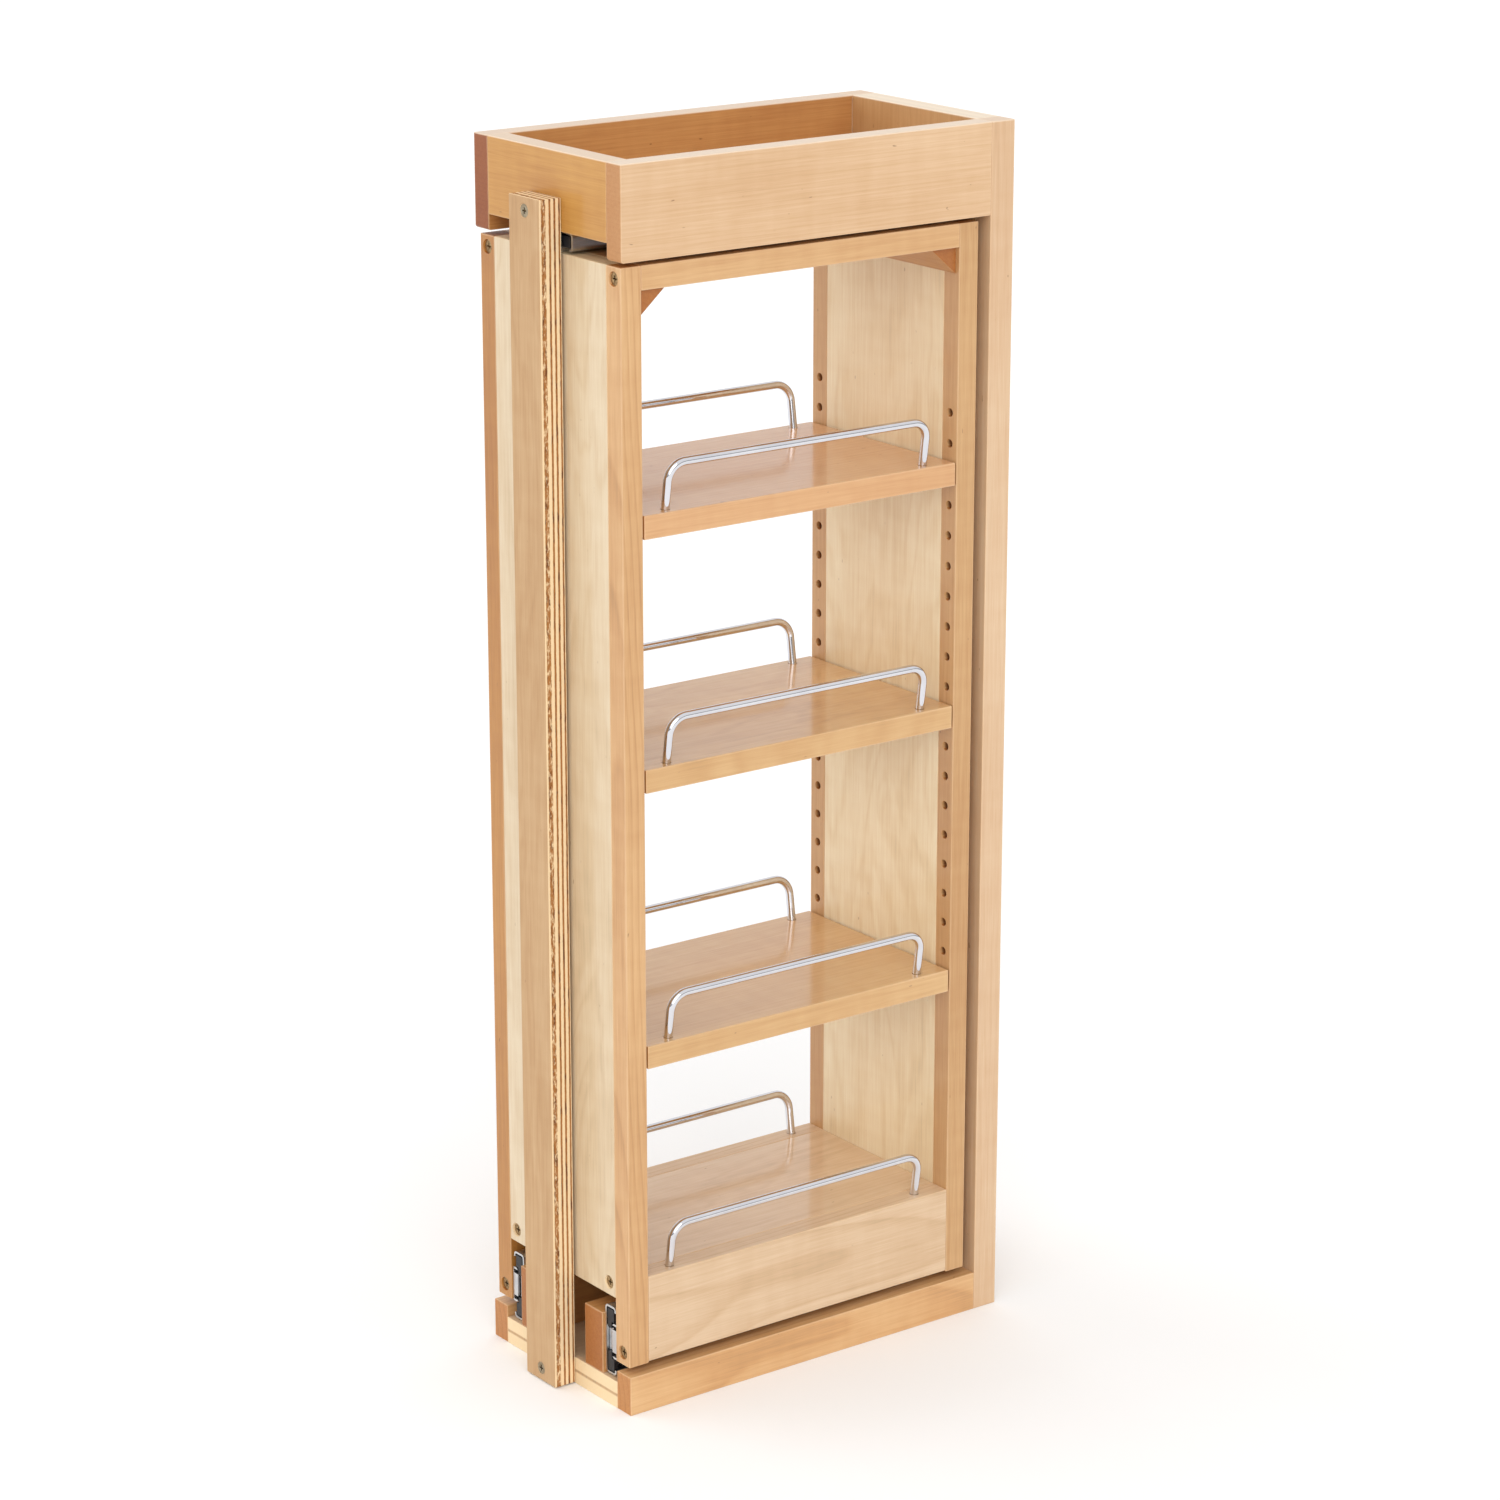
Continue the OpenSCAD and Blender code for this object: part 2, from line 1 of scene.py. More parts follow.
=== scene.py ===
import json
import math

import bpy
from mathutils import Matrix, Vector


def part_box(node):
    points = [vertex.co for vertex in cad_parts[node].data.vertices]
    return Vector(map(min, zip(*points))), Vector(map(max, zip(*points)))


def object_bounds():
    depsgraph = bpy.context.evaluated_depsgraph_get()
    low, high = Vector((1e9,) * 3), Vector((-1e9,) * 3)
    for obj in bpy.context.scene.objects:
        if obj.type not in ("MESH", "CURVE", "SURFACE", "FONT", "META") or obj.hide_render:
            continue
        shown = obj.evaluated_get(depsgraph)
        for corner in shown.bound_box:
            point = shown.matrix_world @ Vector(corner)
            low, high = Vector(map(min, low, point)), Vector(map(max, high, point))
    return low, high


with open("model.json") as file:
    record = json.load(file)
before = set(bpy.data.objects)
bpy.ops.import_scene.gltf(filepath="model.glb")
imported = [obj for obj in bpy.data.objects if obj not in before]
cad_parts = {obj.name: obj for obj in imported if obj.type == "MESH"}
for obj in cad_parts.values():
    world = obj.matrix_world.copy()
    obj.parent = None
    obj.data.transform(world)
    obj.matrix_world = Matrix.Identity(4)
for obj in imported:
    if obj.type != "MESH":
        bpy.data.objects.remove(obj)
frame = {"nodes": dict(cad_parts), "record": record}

# Looks of the pull-out pantry rack: clear-lacquered maple and birch boards, a bare plywood brace,
# chromed wire rails, zinc-plated slides and screws, and black plastic ball retainers.
# Metres, in the same frame as the CAD: +Z up, and the rack pulls out towards -Y.

CAD_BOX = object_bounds()
X, Y, Z = 0, 1, 2


def srgb(red, green, blue):
    """A colour given on the 0 to 255 screen scale, as linear RGBA."""
    def linear(value):
        c = value / 255
        return c / 12.92 if c <= 0.04045 else ((c + 0.055) / 1.055) ** 2.4
    return (linear(red), linear(green), linear(blue), 1.0)


# ---------- node graphs ----------

class Graph:
    """A material's node tree, with short calls for the nodes that the materials here use."""

    def __init__(self, name):
        self.material = bpy.data.materials.new(name)
        self.material.use_nodes = True
        self.tree = self.material.node_tree
        self.tree.nodes.clear()
        self.shader = self.node("ShaderNodeBsdfPrincipled")
        output = self.node("ShaderNodeOutputMaterial")
        self.link(self.shader.outputs["BSDF"], output.inputs["Surface"])
        self.coords = self.node("ShaderNodeTexCoord")

    def node(self, kind, **settings):
        made = self.tree.nodes.new(kind)
        for key, value in settings.items():
            setattr(made, key, value)
        return made

    def link(self, source, target):
        self.tree.links.new(source, target)

    def feed(self, target, value):
        """Links value into target if it is a socket, and otherwise sets it there."""
        if isinstance(value, bpy.types.NodeSocket):
            self.link(value, target)
        else:
            target.default_value = value

    def math(self, operation, *values, clamp=False):
        made = self.node("ShaderNodeMath", operation=operation, use_clamp=clamp)
        for target, value in zip(made.inputs, values):
            self.feed(target, value)
        return made.outputs[0]

    def vector(self, operation, *values):
        made = self.node("ShaderNodeVectorMath", operation=operation)
        for target, value in zip(made.inputs, values):
            self.feed(target, value)
        return made.outputs["Value" if operation in ("LENGTH", "DOT_PRODUCT") else "Vector"]

    def split(self, vector):
        made = self.node("ShaderNodeSeparateXYZ")
        self.link(vector, made.inputs[0])
        return list(made.outputs)

    def join(self, x, y, z):
        made = self.node("ShaderNodeCombineXYZ")
        for target, value in zip(made.inputs, (x, y, z)):
            self.feed(target, value)
        return made.outputs[0]

    def noise(self, vector, stretch, detail=2.0, roughness=0.5, distortion=0.0):
        """Noise from 0 to 1, with stretch waves in each metre along the three axes."""
        scaled = self.vector("MULTIPLY", vector, stretch)
        made = self.node("ShaderNodeTexNoise")
        self.link(scaled, made.inputs["Vector"])
        made.inputs["Scale"].default_value = 1.0
        made.inputs["Detail"].default_value = detail
        made.inputs["Roughness"].default_value = roughness
        made.inputs["Distortion"].default_value = distortion
        return made.outputs["Fac"]

    def remap(self, value, low, high, to_low=0.0, to_high=1.0):
        """Smooth step of value from low to high, onto to_low to to_high."""
        made = self.node("ShaderNodeMapRange", interpolation_type="SMOOTHSTEP")
        for key, number in (("From Min", low), ("From Max", high), ("To Min", to_low), ("To Max", to_high)):
            self.feed(made.inputs[key], number)
        self.feed(made.inputs["Value"], value)
        return made.outputs["Result"]

    def ramp(self, value, stops):
        made = self.node("ShaderNodeValToRGB")
        elements = made.color_ramp.elements
        while len(elements) < len(stops):
            elements.new(0.5)
        for element, (position, colour) in zip(elements, stops):
            element.position = position
            element.color = colour
        self.link(value, made.inputs["Fac"])
        return made.outputs["Color"]

    def levels(self, value, profile):
        """A ramp of greys, given as (position, level) pairs."""
        return self.ramp(value, [(position, (level, level, level, 1)) for position, level in profile])

    def mix(self, factor, a, b, blend="MIX"):
        made = self.node("ShaderNodeMix", data_type="RGBA", blend_type=blend)
        self.feed(made.inputs["Factor"], factor)
        self.feed(made.inputs[6], a)
        self.feed(made.inputs[7], b)
        return made.outputs[2]

    def bump(self, height, strength, distance):
        made = self.node("ShaderNodeBump")
        made.inputs["Strength"].default_value = strength
        made.inputs["Distance"].default_value = distance
        self.link(height, made.inputs["Height"])
        self.link(made.outputs["Normal"], self.shader.inputs["Normal"])

    def set(self, **values):
        """Sets the shader's own sockets, such as coat_weight for Coat Weight."""
        for key, value in values.items():
            name = key.replace("_", " ").title().replace("Ior", "IOR")
            self.feed(self.shader.inputs[name], value)


# ---------- wood ----------

SATIN, GLOSSY = 0.35, 0.95   # how much of the lacquer has flowed out smooth
EDGE_WIDTH = 0.0011          # how far the pale edge of a board shows: paler sanded wood, partly a painted highlight
HOLE_SHADE = (0.0006, 0.003) # depths at which the painted shade in a drilled hole starts to darken and is darkest

# Tints that multiply the wood's colour, and colours that it fades to
END_TINT = (0.70, 0.47, 0.25, 1.0)
DARK_END = {"top_box_left_board": (0.44, 0.17, 0.03, 1.0)}
# painted shade: darkens the walls of drilled holes and notches, where shade falls
HOLE_PAINTED_SHADE_TINT = (0.34, 0.17, 0.07, 1.0)
# pale edges: partly paler sanded wood, partly a painted highlight of the eased edges
SANDED_EDGE_AND_HIGHLIGHT = srgb(236, 205, 166)
# the top rim: partly sanded wood, partly a painted highlight from above
SANDED_RIM_AND_HIGHLIGHT = srgb(240, 222, 200)
END_SOAK = 0.85              # how much of the lacquer the end grain soaks up

# Tones, each as (early wood, late wood)
TONES = {
    "gold": (srgb(205, 152, 75), srgb(186, 129, 57)),
    "peach": (srgb(225, 191, 153), srgb(208, 167, 124)),
    "cream": (srgb(222, 192, 157), srgb(208, 169, 130)),
    "honey": (srgb(219, 177, 126), srgb(198, 149, 98)),
    "amber": (srgb(228, 187, 135), srgb(208, 158, 105)),
    "rust": (srgb(204, 151, 92), srgb(181, 124, 71)),
    "toast": (srgb(208, 167, 117), srgb(188, 140, 90)),
    "russet": (srgb(192, 136, 66), srgb(170, 111, 50)),
    "rose": (srgb(223, 176, 124), srgb(205, 151, 98)),
    "wheat": (srgb(228, 199, 162), srgb(211, 176, 136)),
    "ochre": (srgb(219, 179, 124), srgb(201, 154, 97)),
    "straw": (srgb(225, 197, 164), srgb(207, 173, 135)),
    "birch": (srgb(228, 211, 182), srgb(211, 186, 150)),
    "pale": (srgb(244, 230, 198), srgb(228, 204, 163)),
    # tan is darker as painted shade: the back panel core shows only in the shaded inside of the top box
    "tan": (srgb(207, 167, 118), srgb(191, 147, 98)),
    "brace": (srgb(204, 170, 129), srgb(188, 149, 107)),
}
SOLID_FLECKS = {"deepest": 0.72, "speck": srgb(120, 74, 40), "speck_strength": 0.55}
VENEER_FLECKS = {"deepest": 0.74, "speck": srgb(130, 84, 48), "speck_strength": 0.40}

# How each figure is cut from the log: the pith's offset from the board's centre through its
# thickness and across its width, the tilt of the log along the board, the distance between
# rings, and how dark the rings are.
FIGURES = {
    "plain": {"pith": (0.075, 0.008), "tilt": 0.045, "ring": 0.0046, "line": 0.30},
    "rift": {"pith": (0.16, 0.12), "tilt": 0.012, "ring": 0.0034, "line": 0.09},
    "quarter": {"pith": (0.01, 0.26), "tilt": 0.006, "ring": 0.0026, "line": 0.12},
}
RING_SWAY, RING_RIPPLE = 0.030, 0.0016    # how far the rings wander along the board, and across it
RING_PROFILE = ((0.0, 0.15), (0.12, 0.0), (0.62, 0.22), (0.92, 1.0), (1.0, 0.2))

# A rotary-cut veneer's contours: how many there are, and how dark they are
PEELED_CONTOURS, PEELED_LINE = 13, 0.16

# What the wood has besides its figure: waves in each metre through the thickness, across and
# along the grain, then detail, roughness and how much it darkens or lightens
STREAKS = ((480, 480, 12), 4, 0.6, 0.62)
FIBRES = ((1400, 1400, 40), 3, 0.6, 0.50)
CLOUDS = ((16, 16, 5), 3, 0.5, 0.75)
CURL = ((26, 26, 95), 2, 0.4, 0.26)
PLAIN_DARKNESS = 0.32
SPECKS = ((420, 420, 160), 1, 0.3)
SPECK_LEVELS = (0.79, 0.84)  # the specks are where this noise is highest


def board_frame(graph, node, grain):
    """The place in the board, as (through the thickness, across, along the grain) from its centre."""
    low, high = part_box(node)
    centre, half = (low + high) / 2, (high - low) / 2
    across = sorted((axis for axis in (X, Y, Z) if axis != grain), key=lambda axis: half[axis])
    local = graph.vector("SUBTRACT", graph.coords.outputs["Object"], tuple(centre))
    parts = graph.split(local)
    return graph.join(parts[across[0]], parts[across[1]], parts[grain]), local, half


def beyond_faces(graph, local, half):
    """How far a place is past the board's faces along x, y and z: 0 on them and negative inside."""
    return graph.split(graph.vector("SUBTRACT", graph.vector("ABSOLUTE", local), tuple(half)))


def sanded_edge_and_highlight_mask(graph, local, half, place):
    """1 on the board's long edges and 0 on its faces, broken up where the sanding was uneven: paler sanded
    wood, partly a painted highlight of the rounded edge.
    """
    x, y, z = beyond_faces(graph, local, half)
    nearest = graph.math("MAXIMUM", graph.math("MINIMUM", x, y), graph.math("MINIMUM", y, z))
    nearest = graph.math("MAXIMUM", nearest, graph.math("MINIMUM", x, z))
    uneven = graph.noise(place, (60, 60, 22), detail=3)
    width = graph.math("MULTIPLY", uneven, -2 * EDGE_WIDTH)
    return graph.remap(nearest, width, 0.0)


def painted_hole_shade_mask(graph, local, half):
    """Painted shade: 1 deep inside the holes and notches cut in a board, and 0 on its outer faces."""
    x, y, z = beyond_faces(graph, local, half)
    outermost = graph.math("MAXIMUM", graph.math("MAXIMUM", x, y), z)
    start, darkest = HOLE_SHADE
    return graph.remap(outermost, -darkest, -start, 1.0, 0.0)


def facing(graph, axis):
    """1 on the faces square to an axis and 0 on the others."""
    normal = graph.split(graph.coords.outputs["Normal"])[axis]
    return graph.remap(graph.math("ABSOLUTE", normal), 0.6, 0.8)


RIM_DEPTHS = (0.0009, 0.0003)    # how far below the very top the pale rim starts and is palest: sanded wood and a painted highlight from above
RIM_STRENGTH = 0.62
TOP_SLACK = 0.001                # a board this close to the very top has such a rim


def sanded_rim_and_painted_highlight(graph, node, colour):
    """Lightens the upper rim of the boards that reach the very top: partly freshly sanded wood, partly a
    painted highlight where the light from above falls.
    """
    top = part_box(node)[1].z
    if top < CAD_BOX[1].z - TOP_SLACK:
        return colour
    height = graph.split(graph.coords.outputs["Object"])[Z]
    rim = graph.remap(height, top - RIM_DEPTHS[0], top - RIM_DEPTHS[1])
    return graph.mix(graph.math("MULTIPLY", rim, RIM_STRENGTH), colour, SANDED_RIM_AND_HIGHLIGHT)


def rings(graph, place, figure):
    """The growth rings of a sawn board, from 0 in early wood to 1 in late wood."""
    thick, wide, along = graph.split(place)
    sway = graph.noise(place, (7, 7, 2.2), detail=2, roughness=0.45)
    ripple = graph.noise(place, (60, 60, 9), detail=2)
    lean = graph.math("MULTIPLY", along, figure["tilt"])
    shift = graph.math("MULTIPLY", graph.math("SUBTRACT", sway, 0.5), RING_SWAY)
    fine = graph.math("MULTIPLY", graph.math("SUBTRACT", ripple, 0.5), RING_RIPPLE)
    a = graph.math("ADD", graph.math("ADD", thick, figure["pith"][0]), graph.math("ADD", lean, shift))
    b = graph.math("ADD", graph.math("ADD", wide, figure["pith"][1]), fine)
    radius = graph.vector("LENGTH", graph.join(a, b, 0.0))
    phase = graph.math("FRACT", graph.math("DIVIDE", radius, figure["ring"]))
    return graph.levels(phase, RING_PROFILE)


def peeled(graph, place):
    """The figure of a rotary-cut veneer: long closed contours, from 0 to 1."""
    field = graph.noise(place, (5, 20, 5.5), detail=2.5, roughness=0.5, distortion=0.9)
    phase = graph.math("PINGPONG", graph.math("MULTIPLY", field, PEELED_CONTOURS), 1.0)
    return graph.remap(phase, 0.25, 1.0)


def wood_surface(graph, place, figure, seed):
    """The wood's darkness from 0 to 1, its fibres, and its fine dark specks."""
    shifted = graph.vector("ADD", place, (0.37 * seed, 0.61 * seed, 0.83 * seed))
    if figure == "peeled":
        pattern, line = peeled(graph, shifted), PEELED_LINE
    else:
        cut = FIGURES[figure]
        pattern, line = rings(graph, place, cut), cut["line"]
    total = graph.math("MULTIPLY", pattern, line)
    for layer in (STREAKS, FIBRES, CLOUDS, CURL):
        stretch, detail, roughness, weight = layer
        part = graph.noise(shifted, stretch, detail=detail, roughness=roughness)
        if layer is FIBRES:
            fibres = part
        centred = graph.math("SUBTRACT", part, 0.5)
        total = graph.math("ADD", total, graph.math("MULTIPLY", centred, weight))
    darkness = graph.math("ADD", total, PLAIN_DARKNESS, clamp=True)
    stretch, detail, roughness = SPECKS
    specks = graph.remap(graph.noise(shifted, stretch, detail=detail, roughness=roughness), *SPECK_LEVELS)
    return darkness, fibres, specks


def wood_colour(graph, tone, darkness, specks, deepest, speck, speck_strength):
    """A tone's early wood, late wood and, where it is darkest, its late wood times deepest."""
    early, late = TONES[tone]
    deep = tuple(deepest * c for c in late[:3]) + (1.0,)
    colour = graph.ramp(darkness, [(0.0, early), (0.55, late), (1.0, deep)])
    return graph.mix(graph.math("MULTIPLY", specks, speck_strength), colour, speck)


def lacquer(graph, fibres, gloss):
    """Clear lacquer over slightly raised grain; gloss is how much of it has flowed out smooth."""
    graph.set(roughness=graph.remap(fibres, 0.2, 0.8, 0.36, 0.50), ior=1.45, coat_weight=gloss,
              coat_roughness=0.12, coat_ior=1.5)
    graph.bump(fibres, 0.06, 0.0003)


# strengths of the end-grain tint, of the pale edge (sanded wood, partly a painted highlight) and of the
# painted shade in holes
END_TINT_STRENGTH, EDGE_SANDING_AND_HIGHLIGHT_STRENGTH, HOLE_PAINTED_SHADE_STRENGTH = 0.85, 0.35, 0.8


def board(node, grain, tone, figure, gloss, seed):
    """Gives a solid board its wood: grain runs along the axis grain."""
    graph = Graph("wood_" + node)
    place, local, half = board_frame(graph, node, grain)
    darkness, fibres, specks = wood_surface(graph, place, figure, seed)
    colour = wood_colour(graph, tone, darkness, specks, **SOLID_FLECKS)
    end = facing(graph, grain)
    end_tint = DARK_END.get(node, END_TINT)
    colour = graph.mix(graph.math("MULTIPLY", end, END_TINT_STRENGTH), colour, end_tint, blend="MULTIPLY")
    # pale long edges: sanded wood and a painted highlight
    edge = sanded_edge_and_highlight_mask(graph, local, half, place)
    colour = graph.mix(graph.math("MULTIPLY", edge, EDGE_SANDING_AND_HIGHLIGHT_STRENGTH), colour, SANDED_EDGE_AND_HIGHLIGHT)
    # painted shade inside the strips' drilled holes and notches
    if node.endswith("_strip"):
        hole = graph.math("MULTIPLY", painted_hole_shade_mask(graph, local, half), HOLE_PAINTED_SHADE_STRENGTH)
        colour = graph.mix(hole, colour, HOLE_PAINTED_SHADE_TINT, blend="MULTIPLY")
    # painted highlight along the top rim, with paler sanded wood
    graph.set(base_color=sanded_rim_and_painted_highlight(graph, node, colour))
    soaked = graph.math("MULTIPLY", end, END_SOAK * gloss)
    lacquer(graph, fibres, graph.math("SUBTRACT", gloss, soaked))
    return graph.material


# ---------- plywood ----------

PLY_LIGHT = srgb(244, 222, 184)
PLY_TAN = srgb(236, 206, 160)
PLY_BROWN = srgb(186, 128, 68)
PLY_DARK = srgb(140, 86, 40)
PLY_VOID = srgb(106, 60, 26)

# How brown the cut edge is at places through the thickness, from the low side to the high side
BRACE_PLIES = (
    (0.0, 0.0), (0.07, 0.0), (0.09, 0.62), (0.28, 0.58), (0.31, 0.0), (0.42, 0.0),
    (0.45, 1.0), (0.51, 1.0), (0.54, 0.0), (0.64, 0.0), (0.67, 1.0), (0.73, 1.0),
    (0.76, 0.0), (0.86, 0.0), (0.89, 1.0), (0.94, 1.0), (0.97, 0.0), (1.0, 0.0))
BASE_PLIES = ((0.0, 0.0), (0.42, 0.0), (0.47, 0.6), (0.52, 0.6), (0.57, 0.0), (1.0, 0.0))
PANEL_PLIES = (
    (0.0, 0.0), (0.15, 0.0), (0.19, 0.25), (0.32, 0.25), (0.36, 0.0), (0.62, 0.0),
    (0.66, 0.25), (0.80, 0.25), (0.84, 0.0))
BRACE_TORN = 1.3             # how strongly the saw has torn the brace's half-brown ply


def plies(graph, across, thickness, profile, place, torn):
    """The cut edge of plywood, from 0 in a light ply to 1 in a brown ply that runs the other way.

    Where the saw has torn it, a half-brown ply breaks up into light and brown patches.
    """
    layer = graph.math("ADD", graph.math("DIVIDE", across, thickness), 0.5)
    wander = graph.math("SUBTRACT", graph.noise(place, (40, 40, 22), detail=3), 0.5)
    layer = graph.math("ADD", layer, graph.math("MULTIPLY", wander, 0.035))
    level = graph.levels(layer, profile)
    if torn:
        patches = graph.noise(place, (640, 640, 230), detail=3, roughness=0.7)
        tear = graph.math("MULTIPLY", graph.math("SUBTRACT", patches, 0.5), torn)
        level = graph.remap(graph.math("ADD", level, tear), 0.35, 0.65)
    return level


def plywood(node, grain, layers, profile, tone, seed, torn=0.0):
    """Veneered plywood: the face veneer's grain runs along grain, and the plies stack along layers."""
    graph = Graph("plywood_" + node)
    place, local, half = board_frame(graph, node, grain)
    darkness, fibres, specks = wood_surface(graph, place, "peeled", seed)
    face = wood_colour(graph, tone, darkness, specks, **VENEER_FLECKS)
    crossing = plies(graph, graph.split(local)[layers], 2 * half[layers], profile, local, torn)
    sawn = graph.noise(local, (900, 900, 500), detail=4, roughness=0.75)
    voids = graph.remap(graph.noise(local, (500, 500, 110), detail=4, roughness=0.7), 0.50, 0.62)
    long_ply = graph.mix(sawn, PLY_LIGHT, PLY_TAN)
    cross_ply = graph.mix(sawn, PLY_BROWN, PLY_DARK)
    cross_ply = graph.mix(voids, cross_ply, PLY_VOID)
    edge_colour = graph.mix(crossing, long_ply, cross_ply)
    on_face = facing(graph, layers)
    # painted highlight along the top rim, with paler sanded wood
    graph.set(base_color=sanded_rim_and_painted_highlight(graph, node, graph.mix(on_face, edge_colour, face)))
    return graph, fibres, sawn, on_face


def lacquered_panel(node, grain, layers, tone, seed):
    """Veneered plywood under clear lacquer."""
    graph, fibres, _, _ = plywood(node, grain, layers, PANEL_PLIES, tone, seed)
    lacquer(graph, fibres, SATIN)
    return graph.material


def bare_plywood(node, grain, layers, profile, tone, seed, torn=0.0):
    """Unfinished plywood, rough on its cut edge."""
    graph, fibres, sawn, on_face = plywood(node, grain, layers, profile, tone, seed, torn)
    graph.set(roughness=graph.remap(fibres, 0.2, 0.8, 0.62, 0.78), ior=1.45)
    graph.bump(graph.mix(on_face, sawn, fibres), 0.25, 0.0004)
    return graph.material


# ---------- metal and plastic ----------

def chrome():
    """Polished chrome with the faintest haze."""
    graph = Graph("polished_chrome")
    place = graph.coords.outputs["Object"]
    haze = graph.noise(place, (35, 35, 35), detail=4, roughness=0.6)
    tint = graph.ramp(haze, [(0.3, (0.68, 0.68, 0.72, 1)), (0.7, (0.76, 0.76, 0.79, 1))])
    graph.set(base_color=tint, metallic=1.0, roughness=graph.remap(haze, 0.3, 0.7, 0.02, 0.05))
    graph.bump(graph.noise(place, (260, 260, 260), detail=2), 0.015, 0.0002)
    return graph.material


def zinc():
    """Bright zinc plate with the rolling lines of the strip that it was formed from."""
    graph = Graph("zinc_plate")
    place = graph.coords.outputs["Object"]
    cloud = graph.noise(place, (45, 20, 45), detail=3)
    lines = graph.noise(place, (2200, 12, 2200), detail=2)
    tint = graph.ramp(cloud, [(0.3, (0.52, 0.54, 0.57, 1)), (0.55, (0.66, 0.67, 0.68, 1)),
                              (0.75, (0.58, 0.60, 0.60, 1))])
    graph.set(base_color=tint, metallic=1.0, roughness=graph.remap(lines, 0.2, 0.8, 0.26, 0.42))
    graph.bump(lines, 0.06, 0.0002)
    return graph.material


def ball_steel():
    """Polished steel under a film of grease."""
    graph = Graph("ball_steel")
    place = graph.coords.outputs["Object"]
    film = graph.noise(place, (400, 400, 400), detail=2)
    tint = graph.ramp(film, [(0.35, (0.50, 0.50, 0.51, 1)), (0.65, (0.64, 0.63, 0.60, 1))])
    graph.set(base_color=tint, metallic=1.0, roughness=graph.remap(film, 0.3, 0.7, 0.10, 0.22))
    return graph.material


def black_plastic():
    """Moulded plastic with a fine grit."""
    graph = Graph("black_plastic")
    place = graph.coords.outputs["Object"]
    grit = graph.noise(place, (2600, 2600, 2600), detail=2)
    bloom = graph.noise(place, (60, 60, 60), detail=3)
    tint = graph.ramp(bloom, [(0.3, (0.010, 0.010, 0.012, 1)), (0.7, (0.022, 0.022, 0.025, 1))])
    graph.set(base_color=tint, roughness=graph.remap(bloom, 0.3, 0.7, 0.34, 0.48), ior=1.46)
    graph.bump(grit, 0.15, 0.0002)
    return graph.material


def screw_plate(name, bright, dull):
    """Plated steel that is bright in some patches and dull in others."""
    graph = Graph(name)
    place = graph.coords.outputs["Object"]
    patches = graph.noise(place, (500, 500, 500), detail=3, roughness=0.6)
    graph.set(base_color=graph.ramp(patches, [(0.35, bright), (0.65, dull)]), metallic=1.0,
              roughness=graph.remap(patches, 0.3, 0.7, 0.28, 0.5))
    graph.bump(patches, 0.08, 0.0002)
    return graph.material


# ---------- which piece gets what ----------

# node: grain axis, tone, figure, gloss
BOARDS = {
    "back_panel_left_strip": (Z, "cream", "rift", SATIN),
    "back_panel_right_strip": (Z, "cream", "rift", SATIN),
    "top_box_left_board": (Y, "rust", "quarter", SATIN),
    "top_box_right_board": (Y, "peach", "quarter", SATIN),
    "top_box_front_board": (X, "gold", "rift", SATIN),
    "top_slide_carrier": (Y, "rust", "rift", SATIN),
    "base_left_rail": (Y, "amber", "plain", SATIN),
    "base_right_rail": (Y, "amber", "plain", SATIN),
    "left_slide_block": (Y, "rust", "rift", SATIN),
    "right_slide_block": (Y, "rust", "rift", SATIN),
    "front_panel_left_strip": (Z, "russet", "rift", SATIN),
    "front_panel_right_strip": (Z, "honey", "plain", SATIN),
    "rear_panel_left_strip": (Z, "toast", "rift", SATIN),
    "rear_panel_right_strip": (Z, "toast", "rift", SATIN),
    "rack_top_board": (Y, "honey", "quarter", SATIN),
    "front_corner_block": (X, "rust", "rift", SATIN),
    "rear_corner_block": (X, "rust", "rift", SATIN),
    "bottom_shelf": (Y, "wheat", "peeled", GLOSSY),
    "left_apron": (Y, "straw", "plain", SATIN),
    "right_apron": (Y, "straw", "plain", SATIN),
    "upper_shelf": (Y, "rose", "rift", GLOSSY),
    "middle_shelf": (Y, "ochre", "peeled", GLOSSY),
    "lower_shelf": (Y, "ochre", "rift", GLOSSY),
}
# back_panel_core's tan is a darkened tone: painted shade for the shaded inside of the top box
PANELS = {"back_panel_core": "tan", "front_panel_core": "birch", "rear_panel_core": "pale"}


def give(node, material):
    frame["nodes"][node].material_slots[0].material = material


def dress():
    for seed, (node, (grain, tone, figure, gloss)) in enumerate(BOARDS.items(), start=1):
        give(node, board(node, grain, tone, figure, gloss, seed))
    for seed, (node, tone) in enumerate(PANELS.items(), start=40):
        give(node, lacquered_panel(node, Z, Y, tone, seed))
    brace = bare_plywood("shipping_brace", Z, Y, BRACE_PLIES, "brace", 50, BRACE_TORN)
    give("shipping_brace", brace)
    give("base_board", bare_plywood("base_board", Y, Z, BASE_PLIES, "straw", 51))
    shared = {
        "chrome_wire": chrome(),
        "zinc_slide": zinc(),
        "ball_steel": ball_steel(),
        "black_plastic": black_plastic(),
        "zinc_screw": screw_plate("zinc_screw_plate", (0.42, 0.35, 0.24, 1), (0.25, 0.20, 0.13, 1)),
        "dark_screw": screw_plate("dark_screw_plate", (0.44, 0.30, 0.15, 1), (0.24, 0.15, 0.07, 1)),
    }
    for row in frame["record"]["subparts"]:
        if row["material_slot"] in shared:
            give(row["node"], shared[row["material_slot"]])


# ---------- eased edges ----------

BOARD_EASE = 0.0005
BRACE_EASE = 0.0003       # less than the depth of the brace's screw recesses
SAME_POINT = 1e-5         # corners of the imported mesh this close together are one
FLAT, SHARP = math.radians(0.5), math.radians(50)    # edges under FLAT go, and those over SHARP are eased


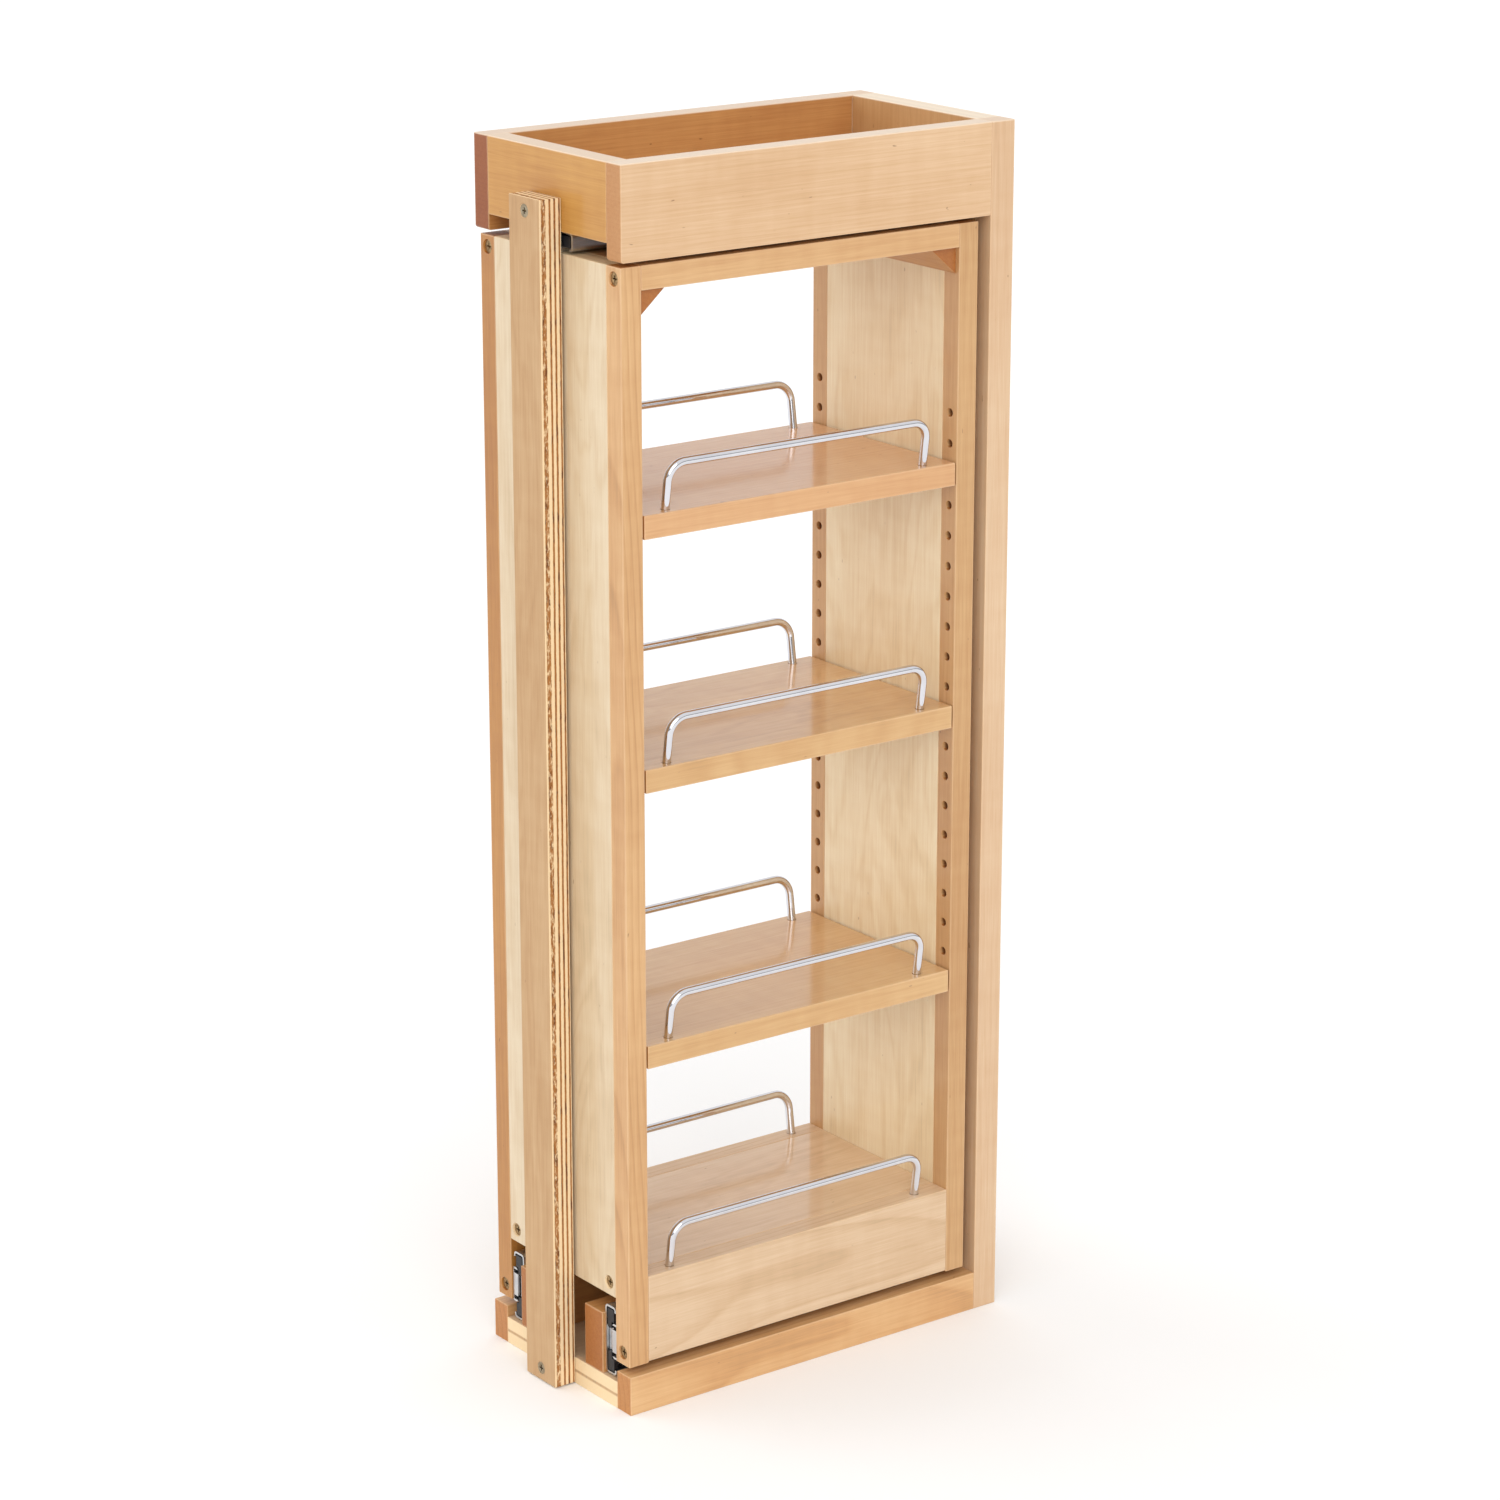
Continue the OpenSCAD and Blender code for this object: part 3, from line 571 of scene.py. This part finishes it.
def ease(node, width=BOARD_EASE):
    """Rounds a piece's sharp edges over."""
    piece = frame["nodes"][node]
    weld = piece.modifiers.new("weld", "WELD")
    weld.merge_threshold = SAME_POINT
    flat = piece.modifiers.new("flat", "DECIMATE")
    flat.decimate_type = "DISSOLVE"
    flat.angle_limit = FLAT
    bevel = piece.modifiers.new("ease", "BEVEL")
    bevel.width = width
    bevel.segments = 2
    bevel.limit_method = "ANGLE"
    bevel.angle_limit = SHARP
    bevel.use_clamp_overlap = False
    bevel.loop_slide = False


def ease_edges():
    for node in [*BOARDS, *PANELS, "base_board"]:
        ease(node)
    ease("shipping_brace", BRACE_EASE)


# ---------- stage ----------

VIEW_AZIMUTH = 53.45
VIEW_ELEVATION = 16.70
LENS = 105.5
CAMERA = (2.0752, -1.5361, 1.1530)
CLIP_END = 200.0
FLOOR_SIZE = 60.0
FLOOR_TONES = ((0.96, 0.96, 0.96, 1), (0.98, 0.98, 0.98, 1))

# Two wide soft lights, each as azimuth, elevation and strength
SUNS = {"key": (58, 26, 1.15), "fill": (-50, 22, 0.6)}
SUN_SIZE = math.radians(50)
SUN_COLOUR = (1.0, 0.995, 0.985)

# How bright the world is, how far it must face away from the camera to count as behind the
# object, and the heights between which it brightens from the horizon's level to the overhead one
OVERHEAD, HORIZON_FRONT, HORIZON_BACK = 0.95, 0.32, 0.7
BEHIND = (0.1, 0.7)
RISE = (0.08, 0.38)


def direction(azimuth, elevation):
    """From the object towards an azimuth and elevation in degrees; azimuth 0 is the front."""
    a, e = math.radians(azimuth), math.radians(elevation)
    return Vector((math.sin(a) * math.cos(e), -math.cos(a) * math.cos(e), math.sin(e)))


def add_camera():
    camera = bpy.data.objects.new("camera", bpy.data.cameras.new("camera"))
    bpy.context.scene.collection.objects.link(camera)
    camera.data.lens = LENS
    camera.data.sensor_width = 36.0
    camera.data.clip_end = CLIP_END
    camera.location = CAMERA
    camera.rotation_mode = "QUATERNION"
    camera.rotation_quaternion = (-direction(VIEW_AZIMUTH, VIEW_ELEVATION)).to_track_quat("-Z", "Y")
    bpy.context.scene.camera = camera


def add_sun(name, azimuth, elevation, strength):
    """A light that falls evenly on the object and the floor."""
    light = bpy.data.lights.new(name, "SUN")
    light.energy = strength
    light.angle = SUN_SIZE
    light.color = SUN_COLOUR
    lamp = bpy.data.objects.new(name, light)
    bpy.context.scene.collection.objects.link(lamp)
    lamp.rotation_mode = "QUATERNION"
    lamp.rotation_quaternion = (-direction(azimuth, elevation)).to_track_quat("-Z", "Y")


def add_floor():
    graph = Graph("pale_floor")
    place = graph.coords.outputs["Object"]
    mottle = graph.noise(place, (3, 3, 3), detail=3)
    tint = graph.ramp(mottle, list(zip((0.3, 0.7), FLOOR_TONES)))
    graph.set(base_color=tint, roughness=0.9, specular_ior_level=0.1)
    half = FLOOR_SIZE / 2
    mesh = bpy.data.meshes.new("floor")
    corners = [(-half, -half, 0), (half, -half, 0), (half, half, 0), (-half, half, 0)]
    mesh.from_pydata(corners, [], [(0, 1, 2, 3)])
    mesh.materials.append(graph.material)
    floor = bpy.data.objects.new("floor", mesh)
    bpy.context.scene.collection.objects.link(floor)


def add_world():
    """Bright overhead and dim low in front, so that polished metal shows contrast.

    The camera itself always sees plain white.
    """
    world = bpy.data.worlds.new("studio")
    world.use_nodes = True
    bpy.context.scene.world = world
    tree = world.node_tree
    tree.nodes.clear()

    def add(kind, **inputs):
        made = tree.nodes.new(kind)
        for key, value in inputs.items():
            target = made.inputs[key.replace("_", " ")]
            if isinstance(value, bpy.types.NodeSocket):
                tree.links.new(value, target)
            else:
                target.default_value = value
        return made

    coords = tree.nodes.new("ShaderNodeTexCoord").outputs["Generated"]
    height = add("ShaderNodeSeparateXYZ", Vector=coords).outputs["Z"]
    away = tree.nodes.new("ShaderNodeVectorMath")
    away.operation = "DOT_PRODUCT"
    tree.links.new(coords, away.inputs[0])
    away.inputs[1].default_value = -direction(VIEW_AZIMUTH, 0)
    horizon = add("ShaderNodeMapRange", Value=away.outputs["Value"], From_Min=BEHIND[0],
                  From_Max=BEHIND[1], To_Min=HORIZON_FRONT, To_Max=HORIZON_BACK).outputs["Result"]
    level = add("ShaderNodeMapRange", Value=height, From_Min=RISE[0], From_Max=RISE[1],
                To_Min=horizon, To_Max=OVERHEAD).outputs["Result"]
    seen = tree.nodes.new("ShaderNodeLightPath").outputs["Is Camera Ray"]
    shown = add("ShaderNodeMath", Value=seen)
    shown.operation = "MAXIMUM"
    tree.links.new(level, shown.inputs[1])
    background = add("ShaderNodeBackground", Color=shown.outputs[0], Strength=1.0)
    output = tree.nodes.new("ShaderNodeOutputWorld")
    tree.links.new(background.outputs[0], output.inputs["Surface"])


def add_stage():
    add_camera()
    add_floor()
    add_world()
    for name, (azimuth, elevation, strength) in SUNS.items():
        add_sun(name, azimuth, elevation, strength)
    bpy.context.scene.view_settings.view_transform = "Standard"


dress()
ease_edges()
add_stage()
